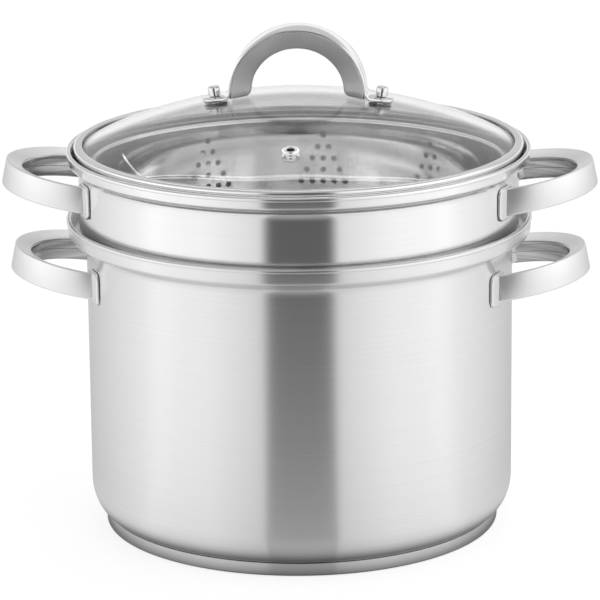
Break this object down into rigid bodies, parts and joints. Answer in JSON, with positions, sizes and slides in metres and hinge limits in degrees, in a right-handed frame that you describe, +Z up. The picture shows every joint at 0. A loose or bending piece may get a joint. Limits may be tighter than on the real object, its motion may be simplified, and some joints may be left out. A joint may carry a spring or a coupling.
{
  "type": "pasta pot with strainer insert",
  "caption": "Round steel stock pot with a lift-out strainer insert, a shallow steamer basket, a domed glass lid and paired loop handles.",
  "frame": {"origin": "centre of the underside of the base", "axes": "+Z up along the axis of the pot, +X through the side handles, -Y towards the lid's steam vent"},
  "size_m": [0.335, 0.262, 0.2848],
  "materials": {
    "satin_steel": "fine circumferential satin",
    "bright_steel": "mirror polished stainless steel",
    "aluminium": "plain",
    "glass": "clear tempered",
    "silicone": "matt translucent silicone"
  },
  "bodies": {
    "pot": {"pot_body": "satin_steel", "pot_base_core": "aluminium", "pot_base_cap": "satin_steel", "pot_handle_left": "bright_steel", "pot_handle_right": "bright_steel"},
    "strainer_insert": {"insert_body": "satin_steel", "insert_handle_left": "bright_steel", "insert_handle_right": "bright_steel"},
    "basket": {"steamer_basket": "satin_steel"},
    "lid": {"lid_glass": "glass", "lid_rim_band": "bright_steel", "lid_handle": "bright_steel", "lid_vent_eyelet": "bright_steel", "lid_gasket_upper_left": "silicone", "lid_gasket_upper_right": "silicone", "lid_gasket_lower_left": "silicone", "lid_gasket_lower_right": "silicone", "lid_washer_left": "satin_steel", "lid_washer_right": "satin_steel", "lid_screw_left": "satin_steel", "lid_screw_right": "satin_steel", "lid_cap_nut_left": "bright_steel", "lid_cap_nut_right": "bright_steel"}
  },
  "joints": [
    {"name": "insert_lift", "type": "slide", "parent": "pot", "child": "strainer_insert", "axis": [0, 0, 1], "range_m": [0, 0.16]},
    {"name": "basket_lift", "type": "slide", "parent": "strainer_insert", "child": "basket", "axis": [0, 0, 1], "range_m": [0, 0.07]},
    {"name": "lid_lift", "type": "slide", "parent": "basket", "child": "lid", "axis": [0, 0, 1], "range_m": [0, 0.1]}
  ]
}
